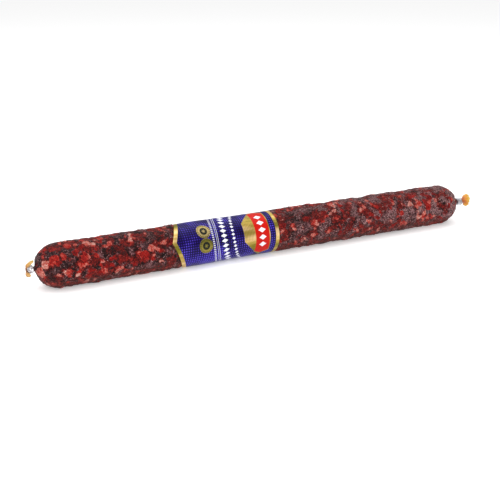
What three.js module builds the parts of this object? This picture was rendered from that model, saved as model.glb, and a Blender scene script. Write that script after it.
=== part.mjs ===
// A whole cured sausage lying on its side: one solid of dried filling in its casing, gathered at
// each end through a crimped aluminium clip, with a printed label wrapped round the middle.
//
// Millimetres, +Z up. The sausage lies along X, with its left end towards -X and the front of its
// label towards -Y. The origin is on the resting plane, under the middle of the overall length.
import * as THREE from 'three';
import { mergeVertices } from 'three/addons/utils/BufferGeometryUtils.js';

// ---------------------------------------------------------------- driving dimensions

// The round body
const BODY_DIAMETER = 40;
const BODY_LENGTH = 456; // from the tip of one dome to the tip of the other
const REST_FLAT_DEPTH = 0.4; // how far its own weight has flattened the underside

// The gathered necks, and how far each clip stands off its dome
const NECK_DIAMETER = 4.2;
const NECK_FILLET = 2; // where the dome turns into the neck
const LEFT_NECK_LENGTH = 2.4;
const RIGHT_NECK_LENGTH = 5.4;

// The crimped clips
const CLIP_LENGTH = 6.2;
const CLIP_DIAMETER = 7.6;
const CLIP_EDGE_ROUND = 0.6;
const CLIP_GROOVE_WIDTH = 0.7; // the line between the clip's two turns
const CLIP_GROOVE_DEPTH = 0.35;

// The left tail, which folds back over its clip like a skirt
const LEFT_TAIL_DIAMETER = 12.6;
const LEFT_TAIL_THICKNESS = 1.2;
const LEFT_TAIL_FOLD_BACK = 2.6;

// The right tail, which opens away from its clip like a fan
const RIGHT_TAIL_DIAMETER = 14;
const RIGHT_TAIL_LENGTH = 9;
const RIGHT_TAIL_HOLLOW = 2; // depth of the dish in the fan's open end

// Both tails are pleated
const PLEATS = 5;
const PLEAT_DEPTH = 0.7;

// The label. Its left edge is cut to a point, and its right edge is cut square.
const LABEL_TIP = -106; // measured along X from the middle of the body
const LABEL_RIGHT_EDGE = 4.6;
const LABEL_SLOPE = 0.45; // how far the pointed edge steps back for each millimetre round the body
const LABEL_CENTRE_ANGLE = 26; // degrees from -Y up towards +Z, where the point lies
const LABEL_THICKNESS = 0.4;

// Room between pieces that touch
const CLEARANCE = 0.3;

// How finely the round surfaces are divided
const SEGMENTS_ROUND_BODY = 40;
const SEGMENTS_ROUND_CLIP = 24;
const STEPS_ON_DOME = 10;
const STEPS_ON_FILLET = 3;
const STEPS_ON_TAIL = 4;

// ---------------------------------------------------------------- sizes that follow from them

const bodyRadius = BODY_DIAMETER / 2;
const neckRadius = NECK_DIAMETER / 2;
const clipRadius = CLIP_DIAMETER / 2;
const grooveRadius = bodyRadius - LABEL_THICKNESS - CLEARANCE;
const axisHeight = bodyRadius - REST_FLAT_DEPTH;

const leftReach = LEFT_NECK_LENGTH + CLIP_LENGTH + 2 * CLEARANCE + LEFT_TAIL_THICKNESS;
const rightReach = RIGHT_NECK_LENGTH + CLIP_LENGTH + 2 * CLEARANCE + RIGHT_TAIL_LENGTH;
const bodyMiddle = (leftReach - rightReach) / 2;

// ---------------------------------------------------------------- helpers

// Turns a profile of (distance along X, radius) points round the X axis.
function turned(profile, segments) {
  const outline = profile.map(([along, radius]) => new THREE.Vector2(radius, along));
  const lathe = new THREE.LatheGeometry(outline, segments);
  lathe.rotateZ(-Math.PI / 2);
  return joined(lathe);
}

// Leaves only positions, with the vertices along the seam and at the poles shared.
function joined(geometry) {
  geometry.deleteAttribute('normal');
  geometry.deleteAttribute('uv');
  return dropFlatTriangles(mergeVertices(geometry, 1e-4));
}

// A lathe makes triangles with no area where its profile meets the axis. They are left out.
function dropFlatTriangles(geometry) {
  const index = geometry.index.array;
  const kept = [];
  for (let i = 0; i < index.length; i += 3) {
    const [a, b, c] = index.slice(i, i + 3);
    if (a !== b && b !== c && c !== a) kept.push(a, b, c);
  }
  geometry.setIndex(kept);
  return geometry;
}

// Moves every vertex: change(point) edits a THREE.Vector3 in place.
function reshape(geometry, change) {
  const position = geometry.attributes.position;
  const point = new THREE.Vector3();
  for (let i = 0; i < position.count; i++) {
    point.fromBufferAttribute(position, i);
    change(point);
    position.setXYZ(i, point.x, point.y, point.z);
  }
  geometry.computeVertexNormals();
  return geometry;
}

// Points on a circular arc, both ends included. Angles are in radians.
function arc(centreAlong, centreRadius, arcRadius, from, to, steps) {
  const points = [];
  for (let i = 0; i <= steps; i++) {
    const angle = THREE.MathUtils.lerp(from, to, i / steps);
    const along = centreAlong + arcRadius * Math.cos(angle);
    points.push([along, centreRadius + arcRadius * Math.sin(angle)]);
  }
  return points;
}

// The angle of a point round the X axis, in radians from -Y up towards +Z.
function angleRound(point) {
  return Math.atan2(point.z, -point.y);
}

// How far the label's pointed edge has stepped back from its tip at this angle.
function stepBack(angle) {
  const fromTip = angle - THREE.MathUtils.degToRad(LABEL_CENTRE_ANGLE);
  const nearest = Math.atan2(Math.sin(fromTip), Math.cos(fromTip));
  return LABEL_SLOPE * bodyRadius * Math.abs(nearest);
}

// Presses the underside flat. inset is how far inside the skin the surface lies.
function flatten(point, inset) {
  point.z = Math.max(point.z, inset - axisHeight);
}

// Pleats a tail: its radius swells and shrinks round the axis, more towards its rim.
function pleat(point, rimRadius) {
  const radius = Math.hypot(point.y, point.z);
  const still = clipRadius + CLEARANCE;
  const share = THREE.MathUtils.smoothstep(radius, still, rimRadius);
  const scale = 1 + (PLEAT_DEPTH * share * Math.cos(PLEATS * angleRound(point))) / Math.max(radius, still);
  point.y *= scale;
  point.z *= scale;
}

// ---------------------------------------------------------------- the sausage

// One end of the body, from the dome's widest circle to the end of the neck. Distances run
// outwards from the dome's tip.
function endProfile(neckLength) {
  const filletHeight = neckRadius + NECK_FILLET;
  const tilt = Math.asin(filletHeight / (bodyRadius + NECK_FILLET));
  const filletAlong = Math.cos(tilt) * (bodyRadius + NECK_FILLET) - bodyRadius;
  const dome = arc(-bodyRadius, 0, bodyRadius, Math.PI / 2, tilt, STEPS_ON_DOME);
  const fillet = arc(filletAlong, filletHeight, NECK_FILLET, tilt - Math.PI, -Math.PI / 2, STEPS_ON_FILLET);
  return [...dome, ...fillet.slice(1), [neckLength + CLIP_LENGTH + 2 * CLEARANCE, neckRadius]];
}

// The left tail spreads along the outer face of its clip and folds back over it.
function leftTailProfile() {
  const face = LEFT_NECK_LENGTH + CLIP_LENGTH + 2 * CLEARANCE;
  const inner = clipRadius + CLEARANCE;
  const rim = LEFT_TAIL_DIAMETER / 2;
  const back = face - LEFT_TAIL_FOLD_BACK;
  const bend = rim - inner - LEFT_TAIL_THICKNESS / 2;
  const outside = arc(face + LEFT_TAIL_THICKNESS - bend, rim - bend, bend, Math.PI / 2, 0, STEPS_ON_TAIL);
  return [
    [face, inner],
    [back, rim - LEFT_TAIL_THICKNESS / 2],
    [back, rim],
    ...outside,
    [face + LEFT_TAIL_THICKNESS, 0],
  ];
}

// The right tail opens from the neck to its rim along a bell curve and ends in a shallow dish.
function rightTailProfile() {
  const root = RIGHT_NECK_LENGTH + CLIP_LENGTH + 2 * CLEARANCE;
  const rim = RIGHT_TAIL_DIAMETER / 2;
  const points = [];
  for (let i = 1; i <= STEPS_ON_TAIL; i++) {
    const share = i / STEPS_ON_TAIL;
    const radius = THREE.MathUtils.lerp(neckRadius, rim, Math.sin((share * Math.PI) / 2));
    points.push([root + share * (RIGHT_TAIL_LENGTH - LEFT_TAIL_THICKNESS), radius]);
  }
  points.push([root + RIGHT_TAIL_LENGTH, rim - LEFT_TAIL_THICKNESS]);
  points.push([root + RIGHT_TAIL_LENGTH - RIGHT_TAIL_HOLLOW, 0]);
  return points;
}

function makeSausage() {
  const domeTip = BODY_LENGTH / 2;
  const left = [...endProfile(LEFT_NECK_LENGTH), ...leftTailProfile()];
  const right = [...endProfile(RIGHT_NECK_LENGTH), ...rightTailProfile()];
  const grooveLeft = LABEL_TIP - CLEARANCE;
  const grooveRight = LABEL_RIGHT_EDGE + CLEARANCE;
  const profile = [
    ...left.map(([along, radius]) => [-domeTip - along, radius]).reverse(),
    [grooveLeft, bodyRadius],
    [grooveLeft, grooveRadius],
    [grooveRight, grooveRadius],
    [grooveRight, bodyRadius],
    ...right.map(([along, radius]) => [domeTip + along, radius]),
  ];
  const body = turned(profile, SEGMENTS_ROUND_BODY);
  return reshape(body, (point) => {
    const inGroove = Math.hypot(point.y, point.z) < (bodyRadius + grooveRadius) / 2;
    if (Math.abs(point.x - grooveLeft) < 0.01) point.x += stepBack(angleRound(point));
    if (point.x < -domeTip) pleat(point, LEFT_TAIL_DIAMETER / 2);
    if (point.x > domeTip) pleat(point, RIGHT_TAIL_DIAMETER / 2);
    flatten(point, inGroove && Math.abs(point.x) < domeTip - bodyRadius ? bodyRadius - grooveRadius : 0);
  });
}

// ---------------------------------------------------------------- the label

function makeLabel() {
  const inside = bodyRadius - LABEL_THICKNESS;
  const band = turned(
    [
      [LABEL_TIP, inside],
      [LABEL_TIP, bodyRadius],
      [LABEL_RIGHT_EDGE, bodyRadius],
      [LABEL_RIGHT_EDGE, inside],
      [LABEL_TIP, inside],
    ],
    SEGMENTS_ROUND_BODY,
  );
  return reshape(band, (point) => {
    const innerFace = Math.hypot(point.y, point.z) < bodyRadius - LABEL_THICKNESS / 2;
    if (point.x < LABEL_TIP + 0.01) point.x += stepBack(angleRound(point));
    flatten(point, innerFace ? LABEL_THICKNESS : 0);
  });
}

// ---------------------------------------------------------------- the clips

// A strip of aluminium wound twice round the neck and pressed into a ring.
function makeClip() {
  const half = CLIP_LENGTH / 2;
  const inside = neckRadius + CLEARANCE;
  const edge = CLIP_EDGE_ROUND;
  const groove = CLIP_GROOVE_WIDTH / 2;
  const ring = turned(
    [
      [-half, inside],
      ...arc(edge - half, clipRadius - edge, edge, Math.PI, Math.PI / 2, STEPS_ON_FILLET),
      [-groove, clipRadius],
      [0, clipRadius - CLIP_GROOVE_DEPTH],
      [groove, clipRadius],
      ...arc(half - edge, clipRadius - edge, edge, Math.PI / 2, 0, STEPS_ON_FILLET),
      [half, inside],
      [-half, inside],
    ],
    SEGMENTS_ROUND_CLIP,
  );
  ring.computeVertexNormals();
  return ring;
}

// ---------------------------------------------------------------- materials and assembly

const driedMeat = new THREE.MeshStandardMaterial({ color: 0x6b2a26, roughness: 0.45, metalness: 0 });
const foilPaper = new THREE.MeshStandardMaterial({ color: 0x2b1f7a, roughness: 0.35, metalness: 0.3 });
const aluminium = new THREE.MeshStandardMaterial({ color: 0xb9bcc2, roughness: 0.3, metalness: 1 });

function named(name, geometry, material, along) {
  const mesh = new THREE.Mesh(geometry, material);
  mesh.name = name;
  mesh.position.x = along;
  return mesh;
}

// Everything is built about the sausage's own axis, then lifted to lie on the resting plane.
const leftClipMiddle = -BODY_LENGTH / 2 - LEFT_NECK_LENGTH - CLEARANCE - CLIP_LENGTH / 2;
const rightClipMiddle = BODY_LENGTH / 2 + RIGHT_NECK_LENGTH + CLEARANCE + CLIP_LENGTH / 2;

const sausage = new THREE.Group();
sausage.position.set(bodyMiddle, 0, axisHeight);
sausage.add(named('sausage', makeSausage(), driedMeat, 0));
sausage.add(named('label_band', makeLabel(), foilPaper, 0));
sausage.add(named('left_clip', makeClip(), aluminium, leftClipMiddle));
sausage.add(named('right_clip', makeClip(), aluminium, rightClipMiddle));

const part = new THREE.Group();
part.add(sausage);
export default part;
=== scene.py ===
# %% [markdown]
# # A whole cured sausage
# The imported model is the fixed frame: it says how long and thick the sausage is and where its label
# and clips sit. Everything that shows is modelled here, in metres, around that frame. The sausage
# lies along X, the front of its label faces -Y, and Z is up.

# %% Load the frame
import math
import random
from types import SimpleNamespace

import bmesh
import bpy
from mathutils import Euler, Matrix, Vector, noise
from mathutils.kdtree import KDTree


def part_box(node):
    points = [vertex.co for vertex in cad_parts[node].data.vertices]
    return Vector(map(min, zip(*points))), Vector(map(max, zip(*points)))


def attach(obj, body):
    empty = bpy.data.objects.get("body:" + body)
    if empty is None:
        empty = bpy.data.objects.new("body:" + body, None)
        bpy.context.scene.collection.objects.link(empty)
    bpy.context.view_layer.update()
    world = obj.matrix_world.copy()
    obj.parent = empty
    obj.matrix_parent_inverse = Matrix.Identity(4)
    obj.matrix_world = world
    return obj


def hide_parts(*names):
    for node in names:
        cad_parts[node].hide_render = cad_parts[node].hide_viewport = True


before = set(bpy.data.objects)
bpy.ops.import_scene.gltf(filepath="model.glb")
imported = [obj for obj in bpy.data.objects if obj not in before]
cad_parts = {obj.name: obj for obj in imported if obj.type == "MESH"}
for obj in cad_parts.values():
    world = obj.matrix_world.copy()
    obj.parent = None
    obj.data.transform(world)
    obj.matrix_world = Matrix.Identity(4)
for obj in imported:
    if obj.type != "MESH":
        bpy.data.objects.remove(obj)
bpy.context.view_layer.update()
MM = 0.001
print("frame holds", sorted(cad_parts))

# %% [markdown]
# Every size below comes from a box of the frame. The label hugs the body, so its box gives the
# body's radius and the height of its axis. The clips stand a known distance off the domes, so their
# boxes give the places of the two dome tips.

# %% Measure the frame
label_low, label_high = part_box("label_band")
left_clip_low, left_clip_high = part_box("left_clip")
right_clip_low, right_clip_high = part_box("right_clip")

RADIUS = (label_high.y - label_low.y) / 2
AXIS_HEIGHT = label_high.z - RADIUS
CLEARANCE = 0.3 * MM
LEFT_NECK = 2.4 * MM
RIGHT_NECK = 5.4 * MM
LEFT_TIP = left_clip_high.x + CLEARANCE + LEFT_NECK
RIGHT_TIP = right_clip_low.x - CLEARANCE - RIGHT_NECK
MIDDLE = (LEFT_TIP + RIGHT_TIP) / 2
print("body from", round(LEFT_TIP, 4), "to", round(RIGHT_TIP, 4), "radius", round(RADIUS, 4))

# %% [markdown]
# ## Camera, light and floor
# The camera looks slightly down on the sausage from the front, turned towards its left end. A long
# lens keeps its two ends close in size, as they are to the eye from across a table.

# %% Camera
CAMERA_TURN = math.radians(-29.6)
CAMERA_HEIGHT = math.radians(17.20)
CAMERA_DISTANCE = 1.0484
CAMERA_LENS = 79.2
AIM = Vector((MIDDLE - 16.3 * MM, 0, AXIS_HEIGHT - 15.6 * MM))


def make_camera():
    data = bpy.data.cameras.new("camera")
    data.sensor_width = 36
    data.lens = CAMERA_LENS
    camera = bpy.data.objects.new("camera", data)
    bpy.context.scene.collection.objects.link(camera)
    flat = math.cos(CAMERA_HEIGHT)
    towards_left = math.sin(CAMERA_TURN) * flat
    towards_front = -math.cos(CAMERA_TURN) * flat
    back = Vector((towards_left, towards_front, math.sin(CAMERA_HEIGHT)))
    camera.location = AIM + back * CAMERA_DISTANCE
    camera.rotation_euler = back.to_track_quat("Z", "Y").to_euler()
    bpy.context.scene.camera = camera
    return camera


camera = make_camera()
print("camera at", [round(c, 3) for c in camera.location])

# %% [markdown]
# Food on a table looks best in very soft light. Many small lamps could give it, but one area light
# as large as a table gives the same shadow with one object. A very large one hangs above, a small
# one stands in front on the left, and the pale surroundings fill in the rest.

# %% Lights and surroundings
def softbox(name, place, width, height, power):
    """An area light that faces the sausage's middle."""
    data = bpy.data.lights.new(name, "AREA")
    data.shape = "RECTANGLE"
    data.size = width
    data.size_y = height
    data.energy = power
    light = bpy.data.objects.new(name, data)
    bpy.context.scene.collection.objects.link(light)
    light.location = place
    light.rotation_euler = Vector(place).to_track_quat("Z", "Y").to_euler()


def make_surroundings(brightness):
    world = bpy.data.worlds.new("pale_studio")
    world.use_nodes = True
    background = world.node_tree.nodes["Background"]
    background.inputs["Color"].default_value = (1, 1, 1, 1)
    background.inputs["Strength"].default_value = brightness
    bpy.context.scene.world = world


softbox("top_softbox", (-0.10, 0.10, 1.1), 2.2, 1.7, 19)
softbox("front_softbox", (-0.9, -1.3, 0.9), 0.5, 0.5, 10.5)
make_surroundings(0.5)
bpy.context.scene.view_settings.view_transform = "Standard"
print("lights:", sorted(light.name for light in bpy.data.lights))

# %% [markdown]
# The materials are built from a few kinds of node over and over, so each kind gets a helper that
# adds the node, feeds it and hands back its output. A helper takes a plain number or another node's
# output in the same place, which keeps the recipes below short.

# %% Helpers for arithmetic in a material
def feed(tree, node, values):
    """Links each output in values to the node's input, and sets the input for a plain value."""
    for name, value in values.items():
        if isinstance(value, bpy.types.NodeSocket):
            tree.links.new(value, node.inputs[name])
        else:
            node.inputs[name].default_value = value


def add(tree, kind, values, **settings):
    """Makes a node, feeds it, and returns its outputs."""
    node = tree.nodes.new(kind)
    for name, value in settings.items():
        setattr(node, name, value)
    feed(tree, node, values)
    return node.outputs


def math_node(tree, operation, *values):
    return add(tree, "ShaderNodeMath", dict(enumerate(values)), operation=operation)[0]


def times(tree, first, second):
    return math_node(tree, "MULTIPLY", first, second)


def times_plus(tree, value, factor, rest):
    return math_node(tree, "MULTIPLY_ADD", value, factor, rest)


def minus(tree, first, second):
    return math_node(tree, "SUBTRACT", first, second)


def least(tree, first, *others):
    for value in others:
        first = math_node(tree, "MINIMUM", first, value)
    return first


def most(tree, first, *others):
    for value in others:
        first = math_node(tree, "MAXIMUM", first, value)
    return first


print("arithmetic helpers ready")

# %% [markdown]
# The next helpers deal with places: they split a position, step softly between two levels, and
# spread noise of a given lump size.

# %% Helpers for places
def step_between(tree, value, low, high):
    """0 below low, 1 above high, smooth between."""
    levels = {"Value": value, "From Min": low, "From Max": high}
    return add(tree, "ShaderNodeMapRange", levels, interpolation_type="SMOOTHSTEP")["Result"]


def fall_between(tree, value, low, high):
    """1 below low, 0 above high, smooth between."""
    return minus(tree, 1.0, step_between(tree, value, low, high))


def split(tree, vector):
    """The X, Y and Z outputs of a vector."""
    return add(tree, "ShaderNodeSeparateXYZ", {0: vector})


def object_place(tree):
    return add(tree, "ShaderNodeTexCoord", {})["Object"]


def noise_texture(tree, place, feature, detail=2.0, roughness=0.5, warp=0.0):
    """Noise whose lumps are about feature metres across."""
    values = {"Vector": place, "Scale": 1 / feature, "Detail": detail}
    values.update({"Roughness": roughness, "Distortion": warp})
    return add(tree, "ShaderNodeTexNoise", values)["Fac"]


print("place helpers ready")

# %% [markdown]
# Colours are mixed by a mask, laid over each other like coats of paint, or read off a ramp. Each
# material starts from its own Principled shader, which all of these feed.

# %% Helpers for colours
def mix_colour(tree, share, first, second):
    values = {"Factor": share, 6: first, 7: second}
    return add(tree, "ShaderNodeMix", values, data_type="RGBA")[2]


def lay_over(tree, colour, *coats):
    """Each coat is a mask and a colour, and the last one is on top."""
    for mask, coat in coats:
        colour = mix_colour(tree, mask, colour, coat)
    return colour


def ramp(tree, share, *stops):
    """Each stop is a position and a colour."""
    node = tree.nodes.new("ShaderNodeValToRGB")
    points = node.color_ramp.elements
    while len(points) < len(stops):
        points.new(0.5)
    for point, (position, colour) in zip(points, stops):
        point.position = position
        point.color = (*colour, 1)
    feed(tree, node, {"Fac": share})
    return node.outputs["Color"]


def new_material(name):
    material = bpy.data.materials.new(name)
    material.use_nodes = True
    return material, material.node_tree, material.node_tree.nodes["Principled BSDF"]


print("colour helpers ready")

# %% [markdown]
# The table is one large pale sheet. It glows a little, and more so further out, which keeps it white
# right up to the soft shadow under the sausage. A lamp below it could do the same, but would light
# the sausage from underneath.

# %% Floor
FLOOR_HALF_SIDE = 8
GLOW_CENTRE = (-0.12, 0, 0)
NEAR_GLOW = (0.66, 0.66, 0.66)
FAR_GLOW = (1.0, 1.0, 1.0)


def make_pale_table():
    material, tree, shader = new_material("pale_table")
    ends = {0: object_place(tree), 1: GLOW_CENTRE}
    far = add(tree, "ShaderNodeVectorMath", ends, operation="DISTANCE")["Value"]
    feed(tree, shader, {
        "Base Color": (0.8, 0.8, 0.8, 1),
        "Roughness": 0.9,
        "Specular IOR Level": 0.0,
        "Emission Color": ramp(tree, far, (0.20, NEAR_GLOW), (0.90, FAR_GLOW)),
        "Emission Strength": 0.51,
    })
    return material


def make_floor():
    bm = bmesh.new()
    bmesh.ops.create_grid(bm, x_segments=1, y_segments=1, size=FLOOR_HALF_SIDE)
    mesh = bpy.data.meshes.new("floor")
    bm.to_mesh(mesh)
    bm.free()
    mesh.materials.append(make_pale_table())
    floor = bpy.data.objects.new("floor", mesh)
    bpy.context.scene.collection.objects.link(floor)
    return floor


make_floor()
print("floor is", 2 * FLOOR_HALF_SIDE, "m square")

# %% [markdown]
# ## The body
# A cured sausage is a long round stick with domed ends, drawn in at each end to a thin neck where
# the clip holds it. Half of that outline is drawn once, from neck to neck: an arc for the dome, a
# small fillet, and a straight neck that ends inside the clip.

# %% Outline of one end
SKIN_STEP = 0.82 * MM
NECK_RADIUS = 2.1 * MM
NECK_FILLET = 2.0 * MM
FILLET_STEPS = 5
NECK_STEPS = 8
NECK_SHARE_OF_CLIP = 0.8


def end_outline(tip, outwards, neck_length):
    """(x, radius) from the dome's widest circle to the end of the neck, going outwards."""
    reach = RADIUS + NECK_FILLET
    tilt = math.asin((NECK_RADIUS + NECK_FILLET) / reach)
    quarter = math.pi / 2
    points = []
    steps = round(RADIUS * (quarter - tilt) / SKIN_STEP)
    for i in range(steps + 1):
        angle = quarter + (tilt - quarter) * i / steps
        points.append((RADIUS * (math.cos(angle) - 1), RADIUS * math.sin(angle)))
    for i in range(1, FILLET_STEPS + 1):
        angle = tilt + (quarter - tilt) * i / FILLET_STEPS
        along = reach * math.cos(tilt) - RADIUS - NECK_FILLET * math.cos(angle)
        points.append((along, NECK_RADIUS + NECK_FILLET * (1 - math.sin(angle))))
    last = points[-1][0]
    for i in range(1, NECK_STEPS + 1):
        points.append((last + (neck_length - last) * i / NECK_STEPS, NECK_RADIUS))
    return [(tip + outwards * along, radius) for along, radius in points]


neck_in_clip = (left_clip_high.x - left_clip_low.x) * NECK_SHARE_OF_CLIP
left_end = end_outline(LEFT_TIP, -1, LEFT_NECK + neck_in_clip)
right_end = end_outline(RIGHT_TIP, 1, RIGHT_NECK + neck_in_clip)
print("ends have", len(left_end), "and", len(right_end), "points")

# %% [markdown]
# The straight stretch joins the two ends. Its rings are close together where the skin shows, because
# they have to carry its wrinkles, and far apart under the label, where nobody sees them.

# %% Whole outline
HIDDEN_STEP = 5 * MM
HIDDEN_FROM = label_low.x + 31 * MM
HIDDEN_TO = label_high.x - 4 * MM


def evenly(start, end, step):
    count = max(1, round((end - start) / step))
    return [start + (end - start) * i / count for i in range(count + 1)]


straight = evenly(LEFT_TIP + RADIUS, HIDDEN_FROM, SKIN_STEP)[1:]
straight += evenly(HIDDEN_FROM, HIDDEN_TO, HIDDEN_STEP)[1:]
straight += evenly(HIDDEN_TO, RIGHT_TIP - RADIUS, SKIN_STEP)[1:-1]
outline = [(left_end[-1][0], 0)] + left_end[::-1] + [(x, RADIUS) for x in straight]
outline += right_end + [(right_end[-1][0], 0)]
print("outline has", len(outline), "points")

# %% [markdown]
# Spinning the outline makes the whole skin at once. A cylinder with bevelled ends would need its
# domes and necks added by hand. The points on the axis meet at the two poles, and merging them
# closes the surface, so its faces can be turned outwards. The clips and tails are spun the same way.

# %% Spin it
STEPS_AROUND = 152
WELD = 1e-6


def spin_profile(points, axis_height, steps, closed=False):
    """A bmesh of (x, radius) points turned round a line along X."""
    bm = bmesh.new()
    verts = [bm.verts.new((x, 0, axis_height + radius)) for x, radius in points]
    following = verts[1:] + verts[:1] if closed else verts[1:]
    edges = [bm.edges.new(pair) for pair in zip(verts, following)]
    bmesh.ops.spin(
        bm, geom=verts + edges, cent=(0, 0, axis_height), axis=(1, 0, 0), dvec=(0, 0, 0),
        angle=math.tau, steps=steps, use_merge=True, use_duplicate=False,
    )
    bmesh.ops.remove_doubles(bm, verts=bm.verts, dist=WELD)
    bmesh.ops.recalc_face_normals(bm, faces=bm.faces)
    return bm


body = spin_profile(outline, AXIS_HEIGHT, STEPS_AROUND)
print("body has", len(body.faces), "faces")

# %% [markdown]
# ## Lean and fat
# The filling is coarsely chopped: dark lean with angular lumps of paprika-red fat. Scattered seeds,
# each lean or fat, split the space near the skin into cells, just as chopped pieces pressed together
# do. Noise alone would make clouds, not lumps. The draws and the noise both start from a fixed
# number, so the sausage is the same every time.

# %% Scatter the seeds
CELLS = 5600
SHELL = 3.5 * MM
SEED_REACH = 1.2
FAT_SHARE = 0.25
FIXED_START = 11
seeds = random.Random(FIXED_START)
noise.seed_set(FIXED_START)


def axis_point(x):
    """The point on the axis that is nearest to x, kept inside the domes' centres."""
    return Vector((min(max(x, LEFT_TIP + RADIUS), RIGHT_TIP - RADIUS), 0, AXIS_HEIGHT))


def scatter(count):
    """Points in a thin shell on both sides of the skin."""
    points = []
    while len(points) < count:
        x = seeds.uniform(LEFT_TIP, RIGHT_TIP)
        y = seeds.uniform(-SEED_REACH, SEED_REACH) * RADIUS
        z = seeds.uniform(-SEED_REACH, SEED_REACH) * RADIUS + AXIS_HEIGHT
        point = Vector((x, y, z))
        if abs((point - axis_point(x)).length - RADIUS) < SHELL:
            points.append(point)
    return points


def plant(points):
    tree = KDTree(len(points))
    for number, point in enumerate(points):
        tree.insert(point, number)
    tree.balance()
    return tree


cells = scatter(CELLS)
is_fat = [seeds.random() < FAT_SHARE for _ in cells]
fat_cells = [point for point, fat in zip(cells, is_fat) if fat]
lean_cells = [point for point, fat in zip(cells, is_fat) if not fat]
fat_tree = plant(fat_cells)
lean_tree = plant(lean_cells)
fat_tones = [seeds.random() for _ in fat_cells]
lean_tones = [seeds.random() for _ in lean_cells]
print(len(fat_cells), "fat cells and", len(lean_cells), "lean cells")

# %% [markdown]
# A few lumps near the left end are far bigger than the rest. Each is listed, and five knife
# cuts in seeded directions give it flat sides.

# %% Big lumps
# Millimetres from the left tip, degrees round from the front, size in millimetres, and tone.
BIG_LUMPS = [
    (1.6, -16, 5.4, 0.84), (4.7, 27, 4.5, 0.88), (11.7, 33, 5.0, 0.36), (27, 70, 3.9, 0.42),
    (38, 26, 3.5, 0.36), (44, 67, 4.0, 0.84), (94, 8, 5.2, 0.26), (101, 24, 3.6, 0.74),
]
CUTS = ((1, 0, 0), (0, 1, 0), (0, 0, 1), (0.7, 0.7, 0.2), (0.2, -0.7, 0.7))


def round_point(x, angle, radius):
    """A point at a place along the sausage, an angle up from the front, and a radius."""
    return Vector((x, -math.cos(angle) * radius, AXIS_HEIGHT + math.sin(angle) * radius))


def on_skin(x, degrees):
    """The same on the smooth skin, domes included."""
    into_dome = max(LEFT_TIP + RADIUS - x, x - RIGHT_TIP + RADIUS, 0)
    radius = math.sqrt(max(RADIUS ** 2 - into_dome ** 2, 0))
    return round_point(x, math.radians(degrees), radius)


def cut_faces():
    """Directions of the flat faces that a knife leaves on one lump."""
    turn = Euler([seeds.uniform(0, math.tau) for _ in range(3)]).to_matrix()
    return [turn @ Vector(cut).normalized() for cut in CUTS]


big_lumps = [
    (on_skin(LEFT_TIP + x * MM, degrees), size * MM, tone, cut_faces())
    for x, degrees, size, tone in BIG_LUMPS
]
print(len(big_lumps), "big lumps")

# %% [markdown]
# For any point of the skin, the nearest fat seed and the nearest lean seed say which side of a
# border it is on and how far. A little warp first keeps the borders from being dead straight.

# %% Distance to the border
WARP = 0.7 * MM
WARP_SIZE = 2.2 * MM


def border_distance(point):
    """How far inside the fat a point of the skin is, negative in the lean, with the two tones."""
    warped = point + WARP * noise.noise_vector(point / WARP_SIZE)
    _, fat, to_fat = fat_tree.find(warped)
    _, lean, to_lean = lean_tree.find(warped)
    depth = (to_lean - to_fat) / 2
    tone = fat_tones[fat]
    for centre, size, lump_tone, faces in big_lumps:
        offset = warped - centre
        if offset.length > 3 * size:
            continue
        flat_sided = max(abs(offset.dot(face)) for face in faces)
        depth_in_lump = size * 0.85 - 0.55 * flat_sided - 0.45 * offset.length
        if depth_in_lump > depth:
            depth = depth_in_lump
            tone = lump_tone
    return depth, tone, lean_tones[lean]


print("depth at the left tip", round(border_distance(on_skin(LEFT_TIP, 0))[0] / MM, 2), "mm")

# %% [markdown]
# ## The dried skin
# As it dries, the lean shrinks more than the fat, so the fat stands a little proud and the skin
# between shrivels into fine folds. The height of the skin is the sum of broad lumps, bulges, ridged
# folds and the swelling of the fat. Real geometry is used and not only bump, so the outline of the
# sausage is uneven too.

# %% Height of the skin
LUMP = 0.62 * MM
LUMP_SIZE = 16 * MM
HILL_SIZE = 8.5 * MM
FOLD = 0.58 * MM
FOLD_SIZE = 3.4 * MM
FAT_SWELL = 0.42 * MM
SETTLE = 0.12 * MM
MEAN_FOLD = 0.75


def smooth(low, high, value):
    share = min(max((value - low) / (high - low), 0), 1)
    return share * share * (3 - 2 * share)


def folds(point):
    """Ridged noise, drawn out along the sausage: 0 in a crease, 1 on top of a fold."""
    stretched = Vector((point.x * 0.6, point.y, point.z))
    coarse = abs(noise.noise(stretched / FOLD_SIZE))
    fine = abs(noise.noise(stretched / (FOLD_SIZE / 2) + Vector((9, 4, 2))))
    return smooth(0, 0.35, coarse) * 0.65 + smooth(0, 0.35, fine) * 0.35


def hills(point):
    """Bulges about a finger's width apart, between -1 and 1."""
    return noise.noise(point / HILL_SIZE + Vector((3, 1, 7))) * 1.8


def skin_height(point, depth):
    lumps = 0.8 * noise.noise(point / LUMP_SIZE) + 0.75 * hills(point)
    swell = FAT_SWELL * smooth(-0.3 * MM, 0.9 * MM, depth)
    return LUMP * lumps + FOLD * (folds(point) - MEAN_FOLD) + swell - SETTLE


print("lumps", LUMP / MM, "mm, folds", FOLD / MM, "mm, fat swell", FAT_SWELL / MM, "mm")

# %% [markdown]
# Paper is wrapped tightly, so the skin is smooth and drawn in under the label. The blank's left edge
# is pointed: it steps back on both sides of a centre line that lies a little above the front.

# %% Room for the label
LABEL_WAIST = 0.75 * MM
LABEL_SLOPE = 0.43
LABEL_CENTRE = math.radians(26)
LABEL_LENGTH = 110.6 * MM
LABEL_TIP = label_high.x - LABEL_LENGTH


def label_edge(angle):
    """Where the label starts at an angle round the sausage."""
    from_centre = (angle - LABEL_CENTRE + math.pi) % math.tau - math.pi
    return LABEL_TIP + LABEL_SLOPE * RADIUS * abs(from_centre)


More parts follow.
